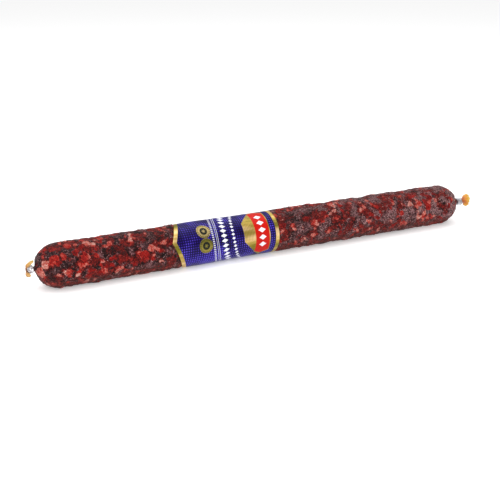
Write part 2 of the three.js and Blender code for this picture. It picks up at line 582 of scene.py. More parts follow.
def under_label(x, angle):
    """1 well under the label, 0 outside it, with a short slope between."""
    return smooth(-1.5 * MM, 0.5 * MM, min(x - label_edge(angle), label_high.x - x))


print("label from", round(LABEL_TIP, 4), "to", round(label_high.x, 4))

# %% [markdown]
# Each vertex moves along its own radius. The necks keep their size and are gathered into pleats, and
# the underside is pressed flat where the sausage rests. The depth in the fat, the two tones and the
# bulges are kept on the mesh as attributes, so the same lumps both swell the skin and colour it.

# %% Shape the skin
PLEAT = 0.35 * MM
PLEATS = 11
TABLE_GAP = 0.02 * MM


def move_vert(vert, depth):
    point = vert.co.copy()
    spoke = point - axis_point(point.x)
    if spoke.length < WELD:
        return
    angle = math.atan2(spoke.z, -spoke.y)
    hidden = under_label(point.x, angle)
    offset = skin_height(point, depth) * (1 - hidden) - LABEL_WAIST * hidden
    from_axis = math.hypot(point.y, point.z - AXIS_HEIGHT)
    offset *= smooth(NECK_RADIUS, NECK_RADIUS + 5 * MM, from_axis)
    wander = 2 * noise.noise(point / (5 * MM))
    offset += smooth(9 * MM, 3 * MM, from_axis) * PLEAT * math.sin(PLEATS * angle + wander)
    vert.co = point + spoke.normalized() * offset
    vert.co.z = max(vert.co.z, TABLE_GAP)


def shape_skin(bm):
    names = ("fat_edge", "fat_tone", "lean_tone", "hill")
    fat_edge, fat_shade, lean_shade, hill = [bm.verts.layers.float.new(name) for name in names]
    for vert in bm.verts:
        depth, fat_tone, lean_tone = border_distance(vert.co)
        bulge = 0.5 + 0.5 * hills(vert.co) + 0.3 * (folds(vert.co) - MEAN_FOLD)
        vert[fat_edge] = 0.5 + min(max(depth / (3 * MM), -0.5), 0.5)
        vert[fat_shade] = fat_tone
        vert[lean_shade] = lean_tone
        vert[hill] = min(max(bulge, 0), 1)
        move_vert(vert, depth)


shape_skin(body)
print("skin is up to", round(max(vert.co.z for vert in body.verts) / MM, 2), "mm high")

# %% [markdown]
# Every piece is finished in the same way, so one function shades it smooth, gives it its material,
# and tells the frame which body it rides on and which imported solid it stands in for.

# %% Make it a piece
def make_piece(name, bm, material, replaces=None):
    """Turns a bmesh into a smooth-shaded object that rides on the frame's only body."""
    for face in bm.faces:
        face.smooth = True
    mesh = bpy.data.meshes.new(name)
    bm.to_mesh(mesh)
    bm.free()
    mesh.materials.append(material)
    piece = bpy.data.objects.new(name, mesh)
    bpy.context.scene.collection.objects.link(piece)
    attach(piece, "root")
    if replaces:
        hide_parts(replaces)
    print(name, "has", len(mesh.polygons), "faces")
    return piece


def give_thickness(piece, thickness, offset):
    wall = piece.modifiers.new("wall", "SOLIDIFY")
    wall.thickness = thickness
    wall.offset = offset


print("pieces will ride on root")

# %% [markdown]
# ## A shared effect: dried skin
# Meat skin, dry casing and foil paper all carry the same kind of tiny crumpling: rounded pads parted
# by sharp creases. One node group makes it, so each material only says how many pads there are and
# how much they differ. It gives a height for the bump and a mask of the creases.

# %% The dried skin group
def make_skin_group():
    group = bpy.data.node_groups.new("dried skin", "ShaderNodeTree")
    group.interface.new_socket("Place", in_out="INPUT", socket_type="NodeSocketVector")
    for name in ("Pads per metre", "Unevenness"):
        group.interface.new_socket(name, in_out="INPUT", socket_type="NodeSocketFloat")
    for name in ("Height", "Crease"):
        group.interface.new_socket(name, in_out="OUTPUT", socket_type="NodeSocketFloat")
    source = add(group, "NodeGroupInput", {})
    size = {0: source["Place"], "Scale": source["Pads per metre"]}
    place = add(group, "ShaderNodeVectorMath", size, operation="SCALE")["Vector"]

    wander = add(group, "ShaderNodeTexNoise", {"Vector": place, "Scale": 0.7, "Detail": 2})["Color"]
    moved = {0: wander, 1: (1.4, 1.4, 1.4), 2: place}
    moved = add(group, "ShaderNodeVectorMath", moved, operation="MULTIPLY_ADD")["Vector"]
    pads = {"Vector": moved, "Scale": 1}
    from_edge = add(group, "ShaderNodeTexVoronoi", pads, feature="DISTANCE_TO_EDGE")["Distance"]

    broad = add(group, "ShaderNodeTexNoise", {"Vector": place, "Scale": 0.45, "Detail": 3})["Fac"]
    rounded = step_between(group, from_edge, 0.0, 0.35)
    add(group, "NodeGroupOutput", {
        "Height": times_plus(group, broad, source["Unevenness"], rounded),
        "Crease": fall_between(group, from_edge, 0.0, 0.12),
    })
    return group


skin_group = make_skin_group()
print(skin_group.name, "has", len(skin_group.nodes), "nodes")

# %% [markdown]
# Each material places the group with its own pad size, and a Bump node turns the height into the
# normal. Bump is kept for what is too fine for the mesh.

# %% Use the dried skin
def dried_skin(tree, place, pad_size, unevenness):
    """The height and the crease mask."""
    node = tree.nodes.new("ShaderNodeGroup")
    node.node_tree = skin_group
    values = {"Place": place, "Pads per metre": 1 / pad_size, "Unevenness": unevenness}
    feed(tree, node, values)
    return node.outputs["Height"], node.outputs["Crease"]


def bump(tree, height, distance, strength=1.0):
    values = {"Strength": strength, "Distance": distance, "Height": height}
    return add(tree, "ShaderNodeBump", values)["Normal"]


print("dried skin ready for three materials")

# %% [markdown]
# ## Cured meat
# The colour follows the attributes of the skin and a few noises, from grain under a millimetre to
# patches a finger wide. A picture of meat wrapped round the body would smear on the domes, while
# this recipe is read straight from the place in space. The shared fields come first.

# %% Fields of the skin
def read(tree, name):
    """An attribute that the skin's mesh carries."""
    return add(tree, "ShaderNodeAttribute", {}, attribute_name=name)["Fac"]


def skin_fields(tree):
    place = object_place(tree)
    sides = split(tree, place)
    return SimpleNamespace(
        place=place,
        x=sides["X"],
        z=sides["Z"],
        grain=noise_texture(tree, place, 0.9 * MM, 2, 0.6),
        fleck=noise_texture(tree, place, 1.8 * MM, 2, 0.7),
        mottle=noise_texture(tree, place, 2.1 * MM, 3, 0.75, 0.8),
        coarse=noise_texture(tree, place, 4.2 * MM, 3, 0.6, 0.8),
        patches=noise_texture(tree, place, 7 * MM, 1, 0.5, 0.5),
        broad=noise_texture(tree, place, 13 * MM, 2, 0.5),
        hill=read(tree, "hill"),
        fat_edge=read(tree, "fat_edge"),
    )


print("attributes on the skin:", [layer.name for layer in body.verts.layers.float.values()])

# %% [markdown]
# Lean is almost black brown, with maroon and purple-grey places, and is painted lighter on the bulges
# and darker in the hollows as light and shade. Paprika fat melts out of the lumps while the sausage
# hangs, and stains the hollows around them red.

# %% Lean and its stains
def lean_colour(tree, skin):
    tone = times_plus(tree, skin.mottle, 2.5, -1.84)
    tone = times_plus(tree, skin.patches, 1.05, tone)
    # Painted light and shade: the lean is lighter on the bulges and darker in the hollows.
    tone = times_plus(tree, skin.hill, 0.62, tone)
    tone = times_plus(tree, read(tree, "lean_tone"), 0.30, tone)
    return ramp(
        tree, tone,
        (0.10, (0.002, 0.001, 0.001)), (0.30, (0.012, 0.004, 0.004)),
        (0.46, (0.060, 0.008, 0.008)), (0.60, (0.050, 0.021, 0.020)),
        (0.76, (0.200, 0.052, 0.060)), (0.94, (0.480, 0.225, 0.235)),
    )


def with_stains(tree, skin, colour):
    near_fat = times_plus(tree, skin.fat_edge, 0.40, skin.coarse)
    in_hollow = times_plus(tree, skin.hill, -0.45, near_fat)
    stain = step_between(tree, in_hollow, 0.31, 0.49)
    strength = times_plus(tree, skin.fleck, 0.5, times(tree, skin.mottle, 0.5))
    paprika = ramp(
        tree, strength,
        (0.38, (0.040, 0.003, 0.003)), (0.49, (0.200, 0.007, 0.006)),
        (0.60, (0.520, 0.030, 0.020)), (0.68, (0.620, 0.130, 0.100)),
    )
    return mix_colour(tree, times(tree, stain, 0.88), colour, paprika)


print("lean and stains described")

# %% [markdown]
# A pale colour lies on the bulges: partly a dusty bloom that dulls them as they dry first, partly
# painted sheen. It is stronger towards both ends and on the upper side, where air reaches the skin
# and where the light falls.

# %% Pale bloom and painted sheen
def with_bloom_and_sheen(tree, skin, colour):
    dryness_and_sheen = times_plus(tree, skin.x, 1.15, skin.broad)
    dryness_and_sheen = times_plus(tree, skin.hill, 0.95, dryness_and_sheen)
    near_left = step_between(tree, skin.x, LEFT_TIP + 30 * MM, LEFT_TIP + 4 * MM)
    dryness_and_sheen = times_plus(tree, near_left, 0.48, dryness_and_sheen)
    # Painted sheen: the pale colour is kept to the upper side, which faces the light.
    upper_side = step_between(tree, skin.z, 6 * MM, 19 * MM)
    bloom_and_sheen = times(tree, step_between(tree, dryness_and_sheen, 0.90, 1.22), upper_side)
    strength = times_plus(tree, skin.grain, 0.35, times(tree, skin.fleck, 0.65))
    strength = times_plus(tree, skin.x, 0.35, strength)
    dusty_sheen = ramp(
        tree, strength,
        (0.38, (0.014, 0.005, 0.006)), (0.48, (0.085, 0.028, 0.031)),
        (0.56, (0.260, 0.100, 0.110)), (0.64, (0.640, 0.350, 0.350)),
    )
    return mix_colour(tree, times(tree, bloom_and_sheen, 0.72), colour, dusty_sheen)


print("bloom described")

# %% [markdown]
# The grinder also leaves crumbs of fat. Voronoi cells make them: each cell has its own random colour,
# which picks the few cells that hold a crumb, and its distance rounds the crumb off. Finer pale
# grains sit on the bulges only: partly salt, partly painted glints.

# %% Crumbs of fat
def crumbs(tree, place, size):
    """The random colour of the nearest crumb, split, and how far off it is."""
    cell = add(tree, "ShaderNodeTexVoronoi", {"Vector": place, "Scale": 1 / size}, feature="F1")
    return add(tree, "ShaderNodeSeparateColor", {"Color": cell["Color"]}), cell["Distance"]


def with_crumbs(tree, skin, colour):
    pick, away = crumbs(tree, skin.place, 1.35 * MM)
    chosen = times_plus(tree, skin.x, 0.6, pick["Red"])
    chosen = times_plus(tree, skin.broad, 0.5, chosen)
    chosen = step_between(tree, chosen, 1.04, 1.08)
    crumb = times(tree, chosen, fall_between(tree, away, 0.25, 0.50))
    crumb_colour = ramp(
        tree, times_plus(tree, skin.x, 1.3, pick["Green"]),
        (0.0, (0.26, 0.012, 0.008)), (0.4, (0.46, 0.060, 0.040)),
        (0.7, (0.48, 0.180, 0.160)), (1.0, (0.62, 0.380, 0.350)),
    )
    colour = mix_colour(tree, times(tree, crumb, 0.85), colour, crumb_colour)

    pick, away = crumbs(tree, skin.place, 1.05 * MM)
    chosen = times_plus(tree, skin.x, 0.6, pick["Blue"])
    chosen = step_between(tree, chosen, 0.72, 0.76)
    # Painted glints: pale flecks on the bulges, partly real salt.
    salt_and_glints = times(tree, chosen, fall_between(tree, away, 0.28, 0.44))
    salt_and_glints = times(tree, salt_and_glints, step_between(tree, skin.hill, 0.30, 0.75))
    return mix_colour(tree, salt_and_glints, colour, (0.66, 0.40, 0.39, 1))


print("crumbs described")

# %% [markdown]
# The lumps of fat run from deep paprika red through coral to salmon. Each has one tone from its
# seed, and a paler grain inside it that is partly painted highlight. Their border is roughened a
# little, so it looks cut and pressed rather than drawn.

# %% Lumps of fat
def fat_mask(tree, skin):
    ragged = times_plus(tree, skin.grain, 0.30, skin.fat_edge)
    ragged = times_plus(tree, skin.mottle, 0.34, ragged)
    ragged = times_plus(tree, skin.x, -0.14, ragged)
    return step_between(tree, ragged, 0.868, 0.908)


def fat_colour(tree, skin):
    # The paler grain inside each lump is partly painted highlight.
    tone = times_plus(tree, skin.mottle, 1.5, -0.62)
    tone = times_plus(tree, read(tree, "fat_tone"), 0.66, tone)
    return ramp(
        tree, tone,
        (0.05, (0.100, 0.003, 0.003)), (0.28, (0.330, 0.006, 0.005)),
        (0.46, (0.560, 0.022, 0.014)), (0.62, (0.640, 0.105, 0.075)),
        (0.80, (0.740, 0.270, 0.220)), (0.97, (0.860, 0.540, 0.450)),
    )


print("fat described")

# %% [markdown]
# The side the sausage lies on stays moist and more even, and its warmer colour is partly that and
# partly painted bounce light from the floor. The top is painted darker as shade, and painted shade
# darkens pits and creases, less so on the smooth fat. The casing keeps a soft greasy shine, which is
# a low specular level with an uneven roughness.

# %% Meat material
PIT_SHADE = (0.014, 0.004, 0.005, 1)
CREASE_AND_TOP_SHADE = (0.012, 0.004, 0.004, 1)


def with_painted_shade_and_underside(tree, skin, colour, fat, lying_side_and_bounce, crease):
    # Warmer underside: partly moist skin, partly painted bounce light from the floor.
    warm = mix_colour(tree, skin.grain, (0.110, 0.022, 0.016, 1), (0.240, 0.060, 0.048, 1))
    # Painted shade in the pits, less on the fat.
    pits = times(tree, step_between(tree, skin.mottle, 0.48, 0.36), 0.62)
    pits = times(tree, pits, times_plus(tree, fat, -0.6, 1.0))
    # Painted shade in the creases, less on the fat.
    creased = times(tree, crease, times_plus(tree, fat, -0.4, 0.80))
    # Painted shade: the top of the sausage is darkened.
    painted_top_shade = times(tree, step_between(tree, skin.z, 20 * MM, 34 * MM), 0.22)
    return lay_over(
        tree, colour,
        (times(tree, lying_side_and_bounce, 0.50), warm),
        (pits, PIT_SHADE),
        (most(tree, creased, painted_top_shade), CREASE_AND_TOP_SHADE),
    )


def make_meat():
    material, tree, shader = new_material("cured_meat")
    skin = skin_fields(tree)
    height, crease = dried_skin(tree, skin.place, 1.25 * MM, 1.3)
    fat = fat_mask(tree, skin)
    low = times_plus(tree, skin.broad, 8 * MM, skin.z)
    lying_side_and_bounce = fall_between(tree, low, 9 * MM, 19 * MM)

    colour = with_stains(tree, skin, lean_colour(tree, skin))
    colour = with_bloom_and_sheen(tree, skin, colour)
    colour = with_crumbs(tree, skin, colour)
    colour = mix_colour(tree, fat, colour, fat_colour(tree, skin))
    matt = times_plus(tree, skin.grain, 0.30, 0.22)
    feed(tree, shader, {
        "Base Color": with_painted_shade_and_underside(tree, skin, colour, fat, lying_side_and_bounce, crease),
        "Roughness": times_plus(tree, lying_side_and_bounce, 0.15, matt),
        "Specular IOR Level": 0.12,
        "Normal": bump(tree, times_plus(tree, skin.grain, 0.6, height), 0.6 * MM),
    })
    return material


make_piece("sausage_body", body, make_meat(), replaces="sausage")

# %% [markdown]
# ## The label
# The label is one strip of metallised paper, pointed at its left edge, wrapped round the sausage and
# glued to itself at the back. A flat grid is cut to that blank, then bent round the axis; past a
# full turn it climbs onto its own start, which makes the overlap. A ring cut from a cylinder would
# have no overlap and no blank to print on.

# %% Bend the label
PAPER_RADIUS = RADIUS - 0.10 * MM
PAPER = 0.14 * MM
PAPER_GAP = 0.16 * MM
PAPER_SWELL = 0.6 * MM
OVERLAP = 7 * MM
GIRTH = math.tau * RADIUS + OVERLAP
UV_SPAN = 140 * MM
COLUMNS = 150
ROWS = 190


def crumple(point, from_left, from_right):
    """Small waves in the paper, a broad swell over the meat, and edges that lift."""
    waves = 0.10 * MM * noise.noise(point / (7 * MM)) + 0.05 * MM * noise.noise(point / (2.5 * MM))
    swell = PAPER_SWELL * math.exp(-((point.x - LABEL_TIP - 32 * MM) / (30 * MM)) ** 2)
    near_edge = 1 - smooth(0, 3 * MM, min(from_left, from_right))
    lift = 0.10 * MM * noise.noise(point / (3.5 * MM) + Vector((5, 5, 5)))
    return waves + swell + near_edge * lift


def bend_paper(vert):
    """Moves a vertex of the unit grid onto the sausage, and returns its place on the blank."""
    around = vert.co.y * GIRTH
    turn = around / RADIUS
    left = LABEL_TIP + LABEL_SLOPE * abs(around)
    x = left + (vert.co.x + 0.5) * (label_high.x - left)
    angle = LABEL_CENTRE + turn
    climb = smooth(math.pi - OVERLAP / RADIUS, math.pi - 0.02, turn)
    radius = PAPER_RADIUS + climb * PAPER * 1.6
    radius += crumple(round_point(x, angle, RADIUS), x - left, label_high.x - x)
    vert.co = round_point(x, angle, radius)
    vert.co.z = max(vert.co.z, PAPER_GAP)
    return x - label_high.x, around


print("blank is", round(LABEL_LENGTH / MM, 1), "by", round(GIRTH / MM, 1), "mm")

# %% [markdown]
# The flat position of each point is kept as its UV, in the blank's own millimetres, so the print
# lies true on the paper however it is bent.

# %% Wrap the label
def wrap_label():
    bm = bmesh.new()
    bmesh.ops.create_grid(bm, x_segments=COLUMNS, y_segments=ROWS, size=0.5)
    uv = bm.loops.layers.uv.new("print")
    blank = {vert: bend_paper(vert) for vert in bm.verts}
    for face in bm.faces:
        for loop in face.loops:
            along, around = blank[loop.vert]
            loop[uv].uv = (along / UV_SPAN + 1, around / UV_SPAN + 0.5)
    bmesh.ops.recalc_face_normals(bm, faces=bm.faces)
    outwards = sum(f.normal.dot(f.calc_center_median() - axis_point(0)) for f in bm.faces)
    if outwards < 0:
        bmesh.ops.reverse_faces(bm, faces=bm.faces)
    return bm


label = wrap_label()
print("label has", len(label.faces), "faces")

# %% [markdown]
# ## The print
# The blank is printed indigo over foil, with a gold border on both ends, a gold panel, a red panel
# with a gold frame, two gold roundels and rows of plain white ornaments. Each element is a distance
# in millimetres from its outline, worked out from the flat position and negative inside. Distances
# can be joined, cut and repeated with plain arithmetic, and stay sharp at any size.

# %% Print helpers
INK_EDGE = 0.10


def inked(tree, distance):
    """1 where the distance is negative, with a thin soft edge."""
    levels = {"Value": distance, "From Min": INK_EDGE, "From Max": -INK_EDGE}
    return add(tree, "ShaderNodeMapRange", levels)["Result"]


def absolute(tree, value):
    return math_node(tree, "ABSOLUTE", value)


def far_from_centre(tree, across, along):
    squares = times_plus(tree, along, along, times(tree, across, across))
    return math_node(tree, "SQRT", squares)


def band(tree, value, middle, half_width):
    return minus(tree, absolute(tree, minus(tree, value, middle)), half_width)


def repeat(tree, value, pitch):
    """The same value, starting again every pitch and centred on 0."""
    return math_node(tree, "WRAP", value, pitch / 2, -pitch / 2)


def lozenge(tree, across, along, half_across, half_along):
    """A four-pointed diamond."""
    wide = math_node(tree, "DIVIDE", absolute(tree, across), half_across)
    total = times_plus(tree, absolute(tree, along), 1 / half_along, wide)
    return times(tree, minus(tree, total, 1.0), min(half_across, half_along))


def blank_place(tree):
    """The place on the blank: along is 0 at its right edge, around is 0 on its centre line."""
    sides = split(tree, add(tree, "ShaderNodeUVMap", {}, uv_map="print")["UV"])
    span = UV_SPAN / MM
    along = times(tree, minus(tree, sides["X"], 1.0), span)
    around = times(tree, minus(tree, sides["Y"], 0.5), span)
    return SimpleNamespace(along=along, around=around, away=absolute(tree, around))


print("print helpers ready")

# %% [markdown]
# The gold border follows both edges of the blank. The gold panel has slanting corners and ends under
# the red panel, whose two short ends are slightly pointed.

# %% Borders and panels
BORDER = 3.8
PANEL_POINT = -37.6
PANEL_CORNER = 8.5
RED_MIDDLE = -18.1
RED_HALF_WIDTH = 7.4
RED_HALF_HEIGHT = 25
RED_FRAME = 0.8


def panel_masks(tree, blank):
    tip = (LABEL_TIP - label_high.x) / MM
    left_edge = times_plus(tree, blank.away, LABEL_SLOPE, tip)
    left_border = minus(tree, minus(tree, blank.along, left_edge), BORDER)
    right_border = minus(tree, -BORDER, blank.along)

    slanted = times_plus(tree, blank.away, 0.95, PANEL_POINT - PANEL_CORNER)
    panel_edge = minus(tree, most(tree, slanted, PANEL_POINT), blank.along)
    panel = most(tree, panel_edge, minus(tree, blank.along, RED_MIDDLE))

    red_across = absolute(tree, minus(tree, blank.along, RED_MIDDLE))
    red_ends = minus(tree, times_plus(tree, red_across, 0.45, blank.away), RED_HALF_HEIGHT)
    red_edge = most(tree, minus(tree, red_across, RED_HALF_WIDTH), red_ends)
    return SimpleNamespace(
        border=inked(tree, least(tree, left_border, right_border)),
        panel=inked(tree, panel),
        panel_edge=panel_edge,
        red=inked(tree, red_edge),
        red_frame=inked(tree, minus(tree, red_edge, RED_FRAME)),
    )


print("panels described")

# %% [markdown]
# White lozenges stand in for lettering, on the red panel and in two rows on the indigo. The rows,
# two thin rules and a line of ticks all bend round one centre far to the right, as print on a conical
# wrapper does, so they are drawn in turns and radii about that centre.

# %% White ornaments
ARCH_CENTRE = -2.7
ARCH_FRONT = 10.0
ROW_HALF_LENGTH = 31
RED_ROW_HALF_LENGTH = 17.5
FINE_ROW = 46.2
BOLD_ROW = 55.8
RULES = (62.6, 64.2)
TICK_ROW = 67.2


def on_arc(tree, turn, radius, pitch):
    """Distance along an arc, starting again every pitch."""
    return repeat(tree, times(tree, turn, radius), pitch)


def white_masks(tree, blank):
    """All white ink, and the part of it that is laid on thinly."""
    from_red = minus(tree, blank.along, RED_MIDDLE)
    in_red = lozenge(tree, from_red, repeat(tree, blank.around, 7.0), 3.9, 2.6)
    in_red = most(tree, in_red, minus(tree, blank.away, RED_ROW_HALF_LENGTH))

    arch = minus(tree, blank.along, ARCH_CENTRE)
    reach = far_from_centre(tree, arch, blank.around)
    turn = math_node(tree, "ARCTAN2", blank.around, times(tree, arch, -1.0))
    bold = lozenge(tree, minus(tree, reach, BOLD_ROW), on_arc(tree, turn, BOLD_ROW, 4.6), 3.3, 1.9)
    fine = lozenge(tree, minus(tree, reach, FINE_ROW), on_arc(tree, turn, FINE_ROW, 3.7), 1.8, 1.35)
    rules = least(tree, band(tree, reach, RULES[0], 0.26), band(tree, reach, RULES[1], 0.22))
    dash = band(tree, on_arc(tree, turn, TICK_ROW, 1.9), 0.0, 0.55)
    ticks = most(tree, band(tree, reach, TICK_ROW, 0.95), dash)

    too_long = minus(tree, blank.away, ROW_HALF_LENGTH)
    in_front = math_node(tree, "ADD", arch, ARCH_FRONT)
    rows = most(tree, least(tree, bold, fine, rules, ticks), too_long, in_front)
    faint = most(tree, least(tree, rules, ticks), too_long, in_front)
    return inked(tree, least(tree, in_red, rows)), inked(tree, faint)


print("ornaments described")

# %% [markdown]
# Each roundel is a gold ring round a dark eye, with a plain six-petalled rosette in the eye and a
# beaded rim. Folding the blank about a line between them draws both at once.

# %% Roundels
ROUNDEL_ALONG = -77.8
ROUNDEL_AROUND = 6.9
ROUNDEL_FOLD = 0.2
PETALS = 6.0
BEADS = 20.0


def roundel_masks(tree, blank):
    across = minus(tree, blank.along, ROUNDEL_ALONG)
    folded = absolute(tree, minus(tree, blank.around, ROUNDEL_FOLD))
    up = minus(tree, folded, ROUNDEL_AROUND)
    reach = far_from_centre(tree, across, up)
    turn = math_node(tree, "ARCTAN2", up, across)
    petal = math_node(tree, "COSINE", times(tree, turn, PETALS))
    rosette = minus(tree, reach, times_plus(tree, petal, 0.6, 1.3))
    return SimpleNamespace(
        gold=inked(tree, least(tree, band(tree, reach, 5.2, 1.6), rosette)),
        line=inked(tree, band(tree, reach, 5.8, 0.2)),
        eye=inked(tree, minus(tree, reach, 3.7)),
        beads=math_node(tree, "SINE", times(tree, turn, BEADS)),
    )


print("roundels described")

# %% [markdown]
# The indigo carries painted foil sheen, brighter in soft clouds and on the lower side, and a fine
# net of dots, the product of two slanting waves. The gold carries painted reflections: it is
# streaked, dark olive to pale, as rolled foil is when it mirrors a room.

# %% Indigo and gold
DIAGONAL = math.pi / 2.3


def indigo_ink(tree, blank, place):
    rising = math_node(tree, "ADD", blank.along, blank.around)
    falling = minus(tree, blank.along, blank.around)
    net = times(
        tree,
        math_node(tree, "SINE", times(tree, rising, DIAGONAL)),
        math_node(tree, "SINE", times(tree, falling, DIAGONAL)),
    )
    dots = step_between(tree, net, -0.2, 0.8)
    clouds = noise_texture(tree, place, 16 * MM, 2, 0.5)
    # Painted foil sheen: brighter in soft clouds and on the lower side of the label.
    lower_side = fall_between(tree, blank.around, -16.0, 4.0)
    sheen_and_dots = times_plus(tree, lower_side, 0.15, times(tree, clouds, 0.9))
    sheen_and_dots = times_plus(tree, dots, 0.42, sheen_and_dots)
    indigo = ramp(
        tree, sheen_and_dots,
        (0.34, (0.004, 0.001, 0.022)), (0.58, (0.007, 0.003, 0.060)),
        (0.82, (0.022, 0.010, 0.200)), (1.0, (0.090, 0.060, 0.560)),
    )
    return indigo, dots


def gold_ink(tree, blank):
    drawn_out = {"X": times(tree, blank.along, 0.012), "Y": times(tree, blank.around, 0.075)}
    drawn_out = add(tree, "ShaderNodeCombineXYZ", drawn_out)["Vector"]
    # Painted reflections: streaks drawn out along the foil.
    sheen = noise_texture(tree, drawn_out, 1.0, 3)
    reflection_streak = step_between(tree, sheen, 0.30, 0.70)
    gold = ramp(
        tree, reflection_streak,
        (0.1, (0.20, 0.17, 0.02)), (0.5, (0.48, 0.33, 0.08)), (0.9, (0.84, 0.58, 0.28)),
    )
    return gold, reflection_streak


print("inks described")

# %% [markdown]
# The inks lie over each other in the order a printer lays them: the ground first, then gold, then
# red. Fine engraved lines shade the gold panel, and beading shades the roundels.

# %% Order of the inks
RED_INK = (0.52, 0.009, 0.004, 1)
EYE_INK = (0.012, 0.014, 0.010, 1)
LINE_INK = (0.05, 0.04, 0.02, 1)
PANEL_SHADE = (0.16, 0.12, 0.02, 1)
BEAD_SHADE = (0.10, 0.11, 0.02, 1)


def printed_colour(tree, panels, roundels, indigo, gold):
    engraved = absolute(tree, repeat(tree, panels.panel_edge, 1.6))
    engraved = step_between(tree, engraved, 0.12, 0.35)
    depth = times_plus(tree, engraved, -0.55, 0.55)
    panel_gold = mix_colour(tree, depth, gold, PANEL_SHADE)
    beading = times_plus(tree, roundels.beads, 0.22, 0.62)
    beaded_gold = mix_colour(tree, beading, gold, BEAD_SHADE)

    return lay_over(
        tree, indigo,
        (panels.panel, panel_gold),
        (roundels.eye, EYE_INK),
        (roundels.gold, beaded_gold),
        (roundels.line, LINE_INK),
        (panels.red_frame, gold),
        (panels.red, RED_INK),
        (panels.border, gold),
    )


print("inks are in order")

# %% [markdown]
# White goes on last. Only bare gold is partly metal, and white ink is a little duller than the rest.
# Large pads of the dried skin make the soft creases of the paper.

# %% Label material
WHITE_INK = (0.80, 0.80, 0.86, 1)


def make_foil_label():
    material, tree, shader = new_material("foil_label")
    blank = blank_place(tree)
    place = object_place(tree)
    panels = panel_masks(tree, blank)
    roundels = roundel_masks(tree, blank)
    white, faint = white_masks(tree, blank)
    indigo, dots = indigo_ink(tree, blank, place)
    gold, reflection_streak = gold_ink(tree, blank)

    colour = printed_colour(tree, panels, roundels, indigo, gold)
    cover = times_plus(tree, faint, -0.35, white)
    gilt = most(tree, panels.border, roundels.gold, panels.panel, panels.red_frame)
    gilt = times(tree, gilt, minus(tree, 1.0, most(tree, panels.red, white)))
    creases, _ = dried_skin(tree, place, 5.5 * MM, 1.6)
    feed(tree, shader, {
        "Base Color": mix_colour(tree, cover, colour, WHITE_INK),
        "Metallic": times(tree, gilt, 0.6),
        "Roughness": times_plus(tree, white, 0.15, times_plus(tree, reflection_streak, 0.2, 0.22)),
        "Specular IOR Level": 0.1,
        "Normal": bump(tree, times_plus(tree, dots, 0.12, creases), 0.10 * MM, 0.6),
    })
    return material


label_piece = make_piece("label", label, make_foil_label(), replaces="label_band")
give_thickness(label_piece, PAPER, -1)

# %% [markdown]
# ## The clips
# A clip is a short strip of aluminium that a machine bends twice round the gathered casing and
# presses tight. What shows is a ring with rounded edges. Its section is drawn once, with many points
# on the outside to carry the marks of the press, and spun.

# %% Clip section
CLIP_BORE = 2.0 * MM
CLIP_EDGE = 0.7 * MM
EDGE_STEPS = 6
SIDE_STEPS = 24


def clip_section(half, outer):
    """(x, radius) round a ring's section, from its bore over the outside and back."""
    points = [(-half, CLIP_BORE)]
    for side, first_angle in ((-1, math.pi), (1, math.pi / 2)):
        for i in range(EDGE_STEPS + 1):
            angle = first_angle - math.pi / 2 * i / EDGE_STEPS
            x = side * (half - CLIP_EDGE) + CLIP_EDGE * math.cos(angle)
            points.append((x, outer - CLIP_EDGE + CLIP_EDGE * math.sin(angle)))
        if side < 0:
            for i in range(1, SIDE_STEPS):
                points.append(((half - CLIP_EDGE) * (2 * i / SIDE_STEPS - 1), outer))
    points.append((half, CLIP_BORE))
    return points


print("clip section has", len(clip_section(3 * MM, 3 * MM)), "points")

# %% [markdown]
# The press leaves a slanting line where the strip's two turns lie side by side, slightly flattened
# sides, and small dents. They are pressed into the ring's vertices, since they show in its outline.
# The right clip sags a little on its longer neck, and the left one is partly pulled into its tail.

# %% Press and spin the clips
LINE_SLANT = 1.5 * MM
LINE_DEPTH = 0.55 * MM
CLIP_STEPS = 96
LEFT_SHORTER = 0.9 * MM
RIGHT_SAG = 0.5 * MM


def press_clip(vert, centre, outer, turn):
    spoke = Vector((0, vert.co.y, vert.co.z - centre.z))
    if spoke.length < outer * 0.7:
        return
    angle = math.atan2(spoke.z, -spoke.y)
    line = vert.co.x - centre.x - LINE_SLANT * math.sin(angle + turn)
    line -= 0.3 * MM * math.sin(2 * angle)
    groove = LINE_DEPTH * math.exp(-(line / (0.28 * MM)) ** 2)
    belly = 0.14 * MM * math.cos(math.tau * line / (2.6 * MM))
    flats = 0.16 * MM * math.cos(4 * angle + turn)
    dents = 0.08 * MM * noise.noise(vert.co / (1.6 * MM))
    vert.co += spoke.normalized() * (flats + dents - groove - belly - 0.12 * MM)


def spin_clip(low, high, turn, sag):
    centre = (low + high) / 2
    outer = (high.z - low.z) / 2
    section = clip_section((high.x - low.x) / 2, outer)
    bm = spin_profile([(centre.x + x, r) for x, r in section], centre.z, CLIP_STEPS, closed=True)
    for vert in bm.verts:
        press_clip(vert, centre, outer, turn)
        vert.co.z -= sag * (0.6 + (vert.co.x - low.x) / (high.x - low.x))
    return bm


left_ring_low = left_clip_low + Vector((LEFT_SHORTER, 0, 0))
left_ring = spin_clip(left_ring_low, left_clip_high, 0.6, 0)
right_ring = spin_clip(right_clip_low, right_clip_high, 2.2, RIGHT_SAG)
print("rings have", len(left_ring.faces), "and", len(right_ring.faces), "faces")

# %% [markdown]
# Pressed aluminium is bright where it is rubbed and dull where it is not. Fine streaks run round the
# ring, as the strip was drawn, and the right clip is painted darker than the left, as shade.

